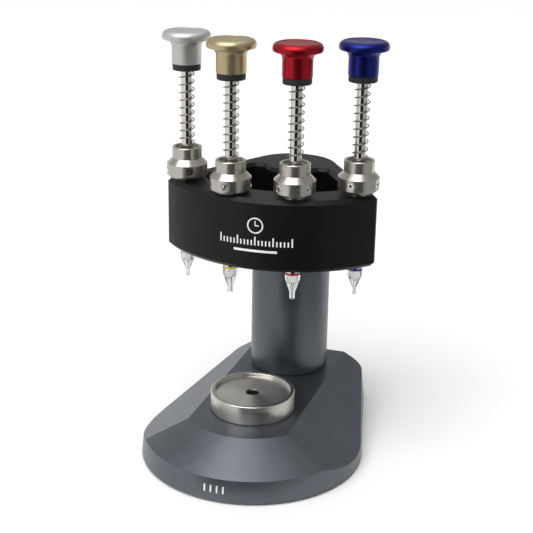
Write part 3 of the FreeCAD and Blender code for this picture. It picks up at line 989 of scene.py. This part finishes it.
@dataclass
class Head:
    """The turret block with its bushes, pins and printed mark."""

    arc_r: float = 65.2
    edge: float = 0.3
    mark_turn: float = 2.4
    dial_height: float = 21.4
    dial_r: float = 3.7
    dial_line: float = 0.6
    hand_wide: float = 0.5
    long_hand: float = 2.2
    short_hand: float = 1.7
    scale_ticks: int = 21
    scale_group: int = 5
    scale_pitch: float = 1.65
    scale_drop: float = 9.2
    long_tick: float = 4.0
    short_share: float = 0.6
    tick_wide: float = 0.62
    rule_drop: float = 2.6
    rule_long: float = 20.0
    rule_thick: float = 1.1

    def build(self) -> None:
        """Build and dress every piece of the head block."""
        piece = merged_copy("head_body", "head_body_piece")
        break_edges(piece, self.edge, segments=2, angle=25)
        smooth(piece, math.radians(24))
        hand_over(piece, "head_body", "head")
        fit_out(("lower_bush", "upper_bush", "thrust_washer", "index_ball", "index_spring",
                 "index_plug", "stop_screw"), "head")
        self.build_mark(piece)

    def build_mark(self, wall: Piece) -> None:
        """A plain printed dial with two hands, over a scale and a rule, on the head's front wall.

        Args:
            wall: The head block that the print lies on.
        """
        z = heights_of("head_body")[0] + self.dial_height
        stencil = Stencil(-self.arc_r - 1)
        parts = [stencil.ring(z, self.dial_r, self.dial_line),
                 stencil.bar(0.0, z + self.long_hand / 2, self.hand_wide, self.long_hand),
                 stencil.bar(self.short_hand / 2, z, self.short_hand, self.hand_wide)]
        bottom = z - self.scale_drop
        half = self.scale_ticks // 2
        for i in range(-half, half + 1):
            tall = self.long_tick * (1.0 if i % self.scale_group == 0 else self.short_share)
            parts.append(stencil.bar(i * self.scale_pitch, bottom + tall / 2, self.tick_wide, tall))
        parts.append(stencil.bar(0.0, bottom - self.rule_drop, self.rule_long, self.rule_thick))
        stencil.print_on(wall, parts, "front_mark", "head", self.mark_turn)


# ---------------------------------------------------------------- the plungers


NOZZLES = {Colour.SILVER: (0.92, 0.35), Colour.GOLD: (1.42, 0.80),
           Colour.RED: (1.25, 0.55), Colour.BLUE: (0.88, 0.35)}


@dataclass
class PlungerShapes:
    """The shapes that all four plungers share, modelled once on the Z axis at their own height."""

    rod_r: float = 2.6
    waist_r: float = 6.65
    flat_r: float = 8.4
    lip: float = 0.18
    side: float = 0.8
    rounding: float = 2.3
    under_r: float = 0.9
    fillet_r: float = 3.3
    dish: float = 0.35
    dish_steps: tuple[float, ...] = (0.975, 0.8, 0.6, 0.4, 0.2)
    chamfer: float = 0.3
    bore_below_top: float = 3.7
    buffer_foot: float = 0.45
    buffer_edge: float = 0.15
    spring_r: float = 3.35
    wire_r: float = 0.25
    wire_sides: int = 10
    spring_turns: float = 15.5
    steps_per_turn: int = 36
    holder_r: float = 3.2
    holder_edge: float = 0.35
    spigot_r: float = 1.7
    stud_r: float = 1.25
    stud_end: float = 1.5
    spigot: float = 4.8

    def knob(self) -> Piece:
        """A mushroom knob with a rounded flange, a crisp lip and a dished top.

        Returns:
            The knob.
        """
        low, high = heights_of("knob_gold")
        flange_r = radius_of("knob_gold")
        side_top = high - self.rounding
        side_bottom = side_top - self.side
        under = side_bottom - self.under_r
        bore_top = high - self.bore_below_top
        fillet, corner = self.fillet_r, self.under_r
        profile = [(0, bore_top), (self.rod_r, bore_top), (self.rod_r, low),
                   (self.waist_r - self.chamfer, low), (self.waist_r, low + self.chamfer)]
        profile += arc((self.waist_r + fillet, under - fillet), (fillet, fillet), 180, 90, 8)
        profile += arc((flange_r - corner, side_bottom), (corner, corner), -90, 0, 5)
        profile += arc((self.flat_r, side_top), (flange_r - self.flat_r, self.rounding), 0, 90, 10)
        profile += [(self.flat_r * s, high - self.lip - (self.dish - self.lip) * (1 - s * s))
                    for s in self.dish_steps]
        profile.append((0, high - self.dish))
        piece = lathe("knob_shape", profile)
        smooth(piece)
        return piece

    def buffer_ring(self) -> Piece:
        """The rubber ring under the knob, with rounded edges.

        Returns:
            The ring.
        """
        low, high = heights_of("buffer_ring_gold")
        outer = radius_of("buffer_ring_gold")
        piece = lathe("buffer_shape", [(self.rod_r, low), (outer, low), (outer, high),
                                       (self.rod_r, high)])
        round_rings(piece, [(outer, low)], self.buffer_foot, 3)
        round_rings(piece, [(outer, high)], self.buffer_edge, 2)
        smooth(piece)
        return piece

    def rod(self) -> Piece:
        """The polished rod, with a chamfered top and the stud at its foot.

        Returns:
            The rod.
        """
        low, high = heights_of("spindle_gold")
        shoulder = heights_of("tip_holder_gold")[1]
        piece = lathe("rod_shape", [
            (0, low), (self.stud_r, low), (self.stud_r, shoulder), (self.rod_r, shoulder),
            (self.rod_r, high - self.chamfer), (self.rod_r - self.chamfer, high), (0, high)])
        smooth(piece)
        return piece

    def spring(self) -> Piece:
        """The return spring, a round wire swept along a right-hand screw.

        Returns:
            The spring.
        """
        low, high = heights_of("return_spring_gold")
        length = high - low - 2 * self.wire_r
        start = (self.spring_r * MM, 0, (low + self.wire_r) * MM)
        deselect_all()
        bpy.ops.mesh.primitive_circle_add(vertices=self.wire_sides, radius=self.wire_r * MM,
                                          location=start, rotation=UPRIGHT)
        piece = bpy.context.object
        settle(piece)
        steps = round(self.spring_turns * self.steps_per_turn)
        apply_modifier(piece, "SCREW", angle=self.spring_turns * 2 * math.pi,
                       screw_offset=length * MM, iterations=1, steps=steps, render_steps=steps,
                       axis="Z", use_merge_vertices=False)
        with editing(piece):
            pick_open_edges()
            bpy.ops.mesh.fill()
            face_out()
        smooth(piece, math.radians(45))
        return piece

    def holder(self) -> Piece:
        """The short steel neck that carries a tip on its spigot.

        Returns:
            The neck.
        """
        low, high = heights_of("tip_holder_gold")
        face = low + self.spigot
        hole_end = low + self.stud_end
        piece = lathe("holder_shape", [
            (0, hole_end), (self.stud_r, hole_end), (self.stud_r, high), (self.holder_r, high),
            (self.holder_r, face), (self.spigot_r, face), (self.spigot_r, low + self.chamfer),
            (self.spigot_r - self.chamfer, low), (0, low)])
        round_rings(piece, [(self.holder_r, high)], self.holder_edge, 2)
        smooth(piece)
        return piece


@dataclass
class Plunger:
    """One plunger with its sleeve, collar and spring in the head."""

    colour: Colour
    shapes: dict[str, Piece]
    nozzle_r: float
    bore_r: float
    sleeve_bore_r: float = 2.64
    spring_pocket_r: float = 3.9
    mouth_edge: float = 0.35
    small_sides: int = 64
    ring_edge: float = 0.15
    tip_r: float = 3.45
    tip_shoulder: float = 2.5
    tip_rounding: float = 0.5
    tip_funnel: float = 1.0
    nozzle_length: float = 3.1
    nozzle_edge: float = 0.12
    spigot_r: float = 1.7
    spigot_in_tip: float = 4.1
    collar_edge: float = 0.14
    screw_edge: float = 0.08

    @property
    def body(self) -> str:
        """The body that the plunger's own pieces ride on."""
        return f"plunger_{self.colour.value}"

    @property
    def centre(self) -> Point:
        """X and Y of the rod's axis, in metres."""
        return axis_of(f"spindle_{self.colour.value}")

    def node(self, piece: str) -> str:
        """The name of this plunger's node of a kind."""
        return f"{piece}_{self.colour.value}"

    @property
    def offset(self) -> Vector:
        """From the Z axis to the rod's axis, in metres."""
        return Vector((*self.centre, 0))

    def build(self) -> None:
        """Build and dress every piece of this plunger."""
        for kind in ("knob", "buffer_ring", "spindle", "tip_holder"):
            piece = copied(self.shapes[kind], f"{self.node(kind)}_piece", self.offset)
            hand_over(piece, self.node(kind), self.body, self.centre)
        self.build_tip()
        self.build_colour_ring()
        self.build_sleeve()
        self.build_collar()
        self.build_spring()

    def put_up(self, piece: Piece, node: str, body: str, angle: float = SMOOTH_ANGLE) -> None:
        """Move a turned piece to the rod's axis, shade it and hand it over.

        Args:
            piece: The piece, still on the Z axis.
            node: The node that it replaces.
            body: The body that it rides on.
            angle: Edges sharper than this, in radians, stay sharp.
        """
        piece.data.transform(Matrix.Translation(self.offset))
        smooth(piece, angle)
        hand_over(piece, node, body, self.centre)

    def build_tip(self) -> None:
        """The clear nose: a socket, a cone and a thin hollow nozzle."""
        node = self.node("tip")
        low, high = heights_of(node)
        nozzle_top = low + self.nozzle_length
        shoulder = high - self.tip_shoulder
        socket_end = high - self.spigot_in_tip
        edge = self.nozzle_edge
        piece = lathe(f"{node}_piece", [
            (self.bore_r, low), (self.nozzle_r - edge, low), (self.nozzle_r, low + edge),
            (self.nozzle_r, nozzle_top), (self.tip_r, shoulder), (self.tip_r, high),
            (self.spigot_r, high), (self.spigot_r, socket_end),
            (self.bore_r, socket_end - self.tip_funnel)], self.small_sides)
        round_rings(piece, [(self.tip_r, shoulder), (self.nozzle_r, nozzle_top)],
                    self.tip_rounding, 3)
        self.put_up(piece, node, self.body, math.radians(35))

    def build_colour_ring(self) -> None:
        """The thin coloured ring between the neck and the tip."""
        node = self.node("colour_ring")
        low, high = heights_of(node)
        outer = (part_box(node)[1].x - self.centre[0]) / MM
        piece = lathe(f"{node}_piece", [(self.spigot_r, low), (outer, low), (outer, high),
                                        (self.spigot_r, high)], self.small_sides)
        round_rings(piece, [(outer, low), (outer, high)], self.ring_edge, 2)
        self.put_up(piece, node, self.body)

    def build_sleeve(self) -> None:
        """The guide sleeve, wide above for the spring and close below for the rod."""
        node = self.node("guide_sleeve")
        low, high = heights_of(node)
        outer = (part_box(node)[1].x - self.centre[0]) / MM
        seat = heights_of(self.node("return_spring"))[0]
        pocket_r = self.spring_pocket_r
        piece = lathe(f"{node}_piece", [
            (self.sleeve_bore_r, low), (outer, low), (outer, high), (pocket_r, high),
            (pocket_r, seat), (self.sleeve_bore_r, seat)])
        round_rings(piece, [(pocket_r, high)], self.mouth_edge, 2)
        self.put_up(piece, node, "head")
        # Painted shade inside the spring pocket.
        paint_bore_shade(piece, self.centre, pocket_r + 0.05, high - self.mouth_edge - 0.05)

    def build_collar(self) -> None:
        """The turned collar and its four screws, with broken edges."""
        for kind, width in (("collar", self.collar_edge), ("collar_screws", self.screw_edge)):
            node = self.node(kind)
            piece = merged_copy(node, f"{node}_piece")
            break_edges(piece, width, segments=2, angle=28)
            smooth(piece, math.radians(24))
            hand_over(piece, node, "head", self.centre)

    def build_spring(self) -> None:
        """The return spring, hung on the head with a mesh of its own."""
        node = self.node("return_spring")
        piece = copied(self.shapes["return_spring"], f"{node}_piece", self.offset)
        hand_over(piece, node, "head", self.centre)
        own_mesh(piece)


# ---------------------------------------------------------------- the studio


@dataclass(frozen=True)
class Card:
    """A card that only polished metal sees, lying on the floor and bent up at its far edge.

    Its ends are in degrees from straight ahead (-Y), positive towards +X. Lengths are in metres.
    """

    name: str
    brightness: float
    start: float
    end: float
    near: float = 0.125
    far: float = 0.42
    tall: float = 0.25
    lift: float = 0.0015
    steps: int = 24

    def build(self) -> None:
        """Draw the card's section at its left end and spin it about the press."""
        first = math.radians(self.start)
        out = Vector((math.sin(first), -math.cos(first), 0))
        deselect_all()
        bpy.ops.mesh.primitive_plane_add(size=0.01,
                                         location=out * self.near + Vector((0, 0, self.lift)))
        card = bpy.context.object
        card.name = self.name
        with editing(card):
            bpy.ops.mesh.select_mode(type="VERT")
            bpy.ops.mesh.merge(type="CENTER")
            pick("SELECT")
            for step in (out * (self.far - self.near), (0, 0, self.tall)):
                bpy.ops.mesh.extrude_region_move(TRANSFORM_OT_translate={"value": step})
            pick("SELECT")
            bpy.ops.mesh.spin(steps=self.steps, angle=math.radians(self.start - self.end),
                              center=(0, 0, 0), axis=(0, 0, 1))
        settle(card)
        card.data.materials.append(self.glow())
        for ray in ("camera", "diffuse", "transmission", "volume_scatter", "shadow"):
            setattr(card, f"visible_{ray}", False)

    def glow(self) -> bpy.types.Material:
        """An even glow of the card's brightness.

        Returns:
            The material.
        """
        shader = Shader(self.name)
        glow = shader.add("Emission")
        glow.inputs["Color"].default_value = (1, 1, 1, 1)
        glow.inputs["Strength"].default_value = self.brightness
        output = shader.material.node_tree.nodes["Material Output"]
        shader.join(glow.outputs["Emission"], output.inputs["Surface"])
        return shader.material


@dataclass
class Studio:
    """Floor, room, soft lights, cards and the camera. Lengths are in metres, angles in degrees."""

    camera_place: Triple = (0.164508, -0.541457, 0.276611)
    yaw: float = 18.145516
    pitch: float = 19.72555
    roll: float = 0.957367
    lens: float = 80.834
    sensor: float = 36.0
    clip: Point = (0.01, 50.0)
    floor_half: float = 9.0
    floor_colour: Triple = (0.90, 0.90, 0.895)
    floor_patches: float = 3.0
    room: float = 0.42
    left_gain: float = 1.25
    right_gain: float = 0.75
    band: Point = (0.05, 0.12)
    sun_power: float = 2.6
    sun_width: float = 60.0
    sun_place: Triple = (-0.18, -0.62, 1.0)
    box_power: float = 1.4
    box_size: float = 0.8
    box_place: Triple = (-0.05, 0.20, 1.0)
    aim: Triple = (0, -0.03, 0.05)
    cards: tuple[Card, ...] = (Card("front_card", 0.02, -9.0, 43.0),
                               Card("right_card", 0.42, 43.0, 120.0),
                               Card("left_card", 0.88, -150.0, -9.0))

    def build(self) -> None:
        """Set up everything around the press."""
        self.build_floor()
        self.build_world()
        self.build_lights()
        for card in self.cards:
            card.build()
        self.build_camera()

    def build_floor(self) -> None:
        """A plain pale floor under the feet."""
        deselect_all()
        bpy.ops.mesh.primitive_plane_add(size=2 * self.floor_half, location=(0, 0, 0))
        floor = bpy.context.object
        floor.name = "studio_floor"
        shader = Shader("studio_floor")
        shader.constants(Specular_IOR_Level=0.2, Roughness=0.8)
        patches = shader.noise(shader.place(), self.floor_patches)
        shader.mottle(patches, self.floor_colour, amount=0.004)
        floor.data.materials.append(shader.material)

    def build_world(self) -> None:
        """A soft room, darker on the right, with a white band behind the floor's far edge."""
        world = bpy.data.worlds.new("studio_room")
        bpy.context.scene.world = world
        world.use_nodes = True
        nodes = world.node_tree.nodes
        links = world.node_tree.links
        background = nodes["Background"]
        background.inputs["Strength"].default_value = self.room
        split = nodes.new("ShaderNodeSeparateXYZ")
        links.new(nodes.new("ShaderNodeTexCoord").outputs["Generated"], split.inputs["Vector"])
        sides = nodes.new("ShaderNodeMapRange")
        sides.inputs["From Min"].default_value = -1.0
        sides.inputs["To Min"].default_value = self.left_gain
        sides.inputs["To Max"].default_value = self.right_gain
        links.new(split.outputs["X"], sides.inputs["Value"])
        band = nodes.new("ShaderNodeMapRange")
        band.inputs["From Min"].default_value = self.band[0]
        band.inputs["From Max"].default_value = self.band[1]
        links.new(split.outputs["Z"], band.inputs["Value"])
        blend = nodes.new("ShaderNodeMix")
        blend.inputs["A"].default_value = 1.0 / self.room
        links.new(band.outputs["Result"], blend.inputs["Factor"])
        links.new(sides.outputs["Result"], blend.inputs["B"])
        links.new(blend.outputs["Result"], background.inputs["Color"])

    def build_lights(self) -> None:
        """A wide soft sun from the upper left front, and a soft box overhead."""
        sun = bpy.data.lights.new("key_sun", "SUN")
        sun.energy = self.sun_power
        sun.angle = math.radians(self.sun_width)
        box = bpy.data.lights.new("top_box", "AREA")
        box.energy = self.box_power
        box.size = self.box_size
        for light, place in ((sun, self.sun_place), (box, self.box_place)):
            holder = bpy.data.objects.new(light.name, light)
            bpy.context.scene.collection.objects.link(holder)
            aim = (Vector(self.aim) - Vector(place)).to_track_quat("-Z", "Y")
            holder.matrix_world = Matrix.Translation(place) @ aim.to_matrix().to_4x4()

    def build_camera(self) -> None:
        """The camera, a little to the right and above."""
        yaw, pitch, roll = (math.radians(a) for a in (self.yaw, self.pitch, self.roll))
        forward = Vector((-math.sin(yaw) * math.cos(pitch), math.cos(yaw) * math.cos(pitch),
                          -math.sin(pitch)))
        level = Vector((math.cos(yaw), math.sin(yaw), 0))
        upright = level.cross(forward)
        right = math.cos(roll) * level + math.sin(roll) * upright
        up = math.cos(roll) * upright - math.sin(roll) * level
        data = bpy.data.cameras.new("main_camera")
        data.sensor_width = self.sensor
        data.lens = self.lens
        data.clip_start, data.clip_end = self.clip
        camera = bpy.data.objects.new("main_camera", data)
        bpy.context.scene.collection.objects.link(camera)
        turn = Matrix((right, up, -forward)).transposed().to_4x4()
        camera.matrix_world = Matrix.Translation(self.camera_place) @ turn
        bpy.context.scene.camera = camera
        bpy.context.scene.view_settings.view_transform = "Standard"


# ---------------------------------------------------------------- all of it


def main() -> None:
    """Build the stand, the head, the plungers and the studio, in that order."""
    logging.basicConfig(level=logging.INFO, format="%(message)s")
    Stand().build()
    Head().build()
    shared = PlungerShapes()
    shapes = {"knob": shared.knob(), "buffer_ring": shared.buffer_ring(),
              "spindle": shared.rod(), "return_spring": shared.spring(),
              "tip_holder": shared.holder()}
    for colour, (nozzle_r, bore_r) in NOZZLES.items():
        Plunger(colour, shapes, nozzle_r, bore_r).build()
    for shape in shapes.values():
        bpy.data.objects.remove(shape)
    Studio().build()


if __name__ == "__main__":
    main()
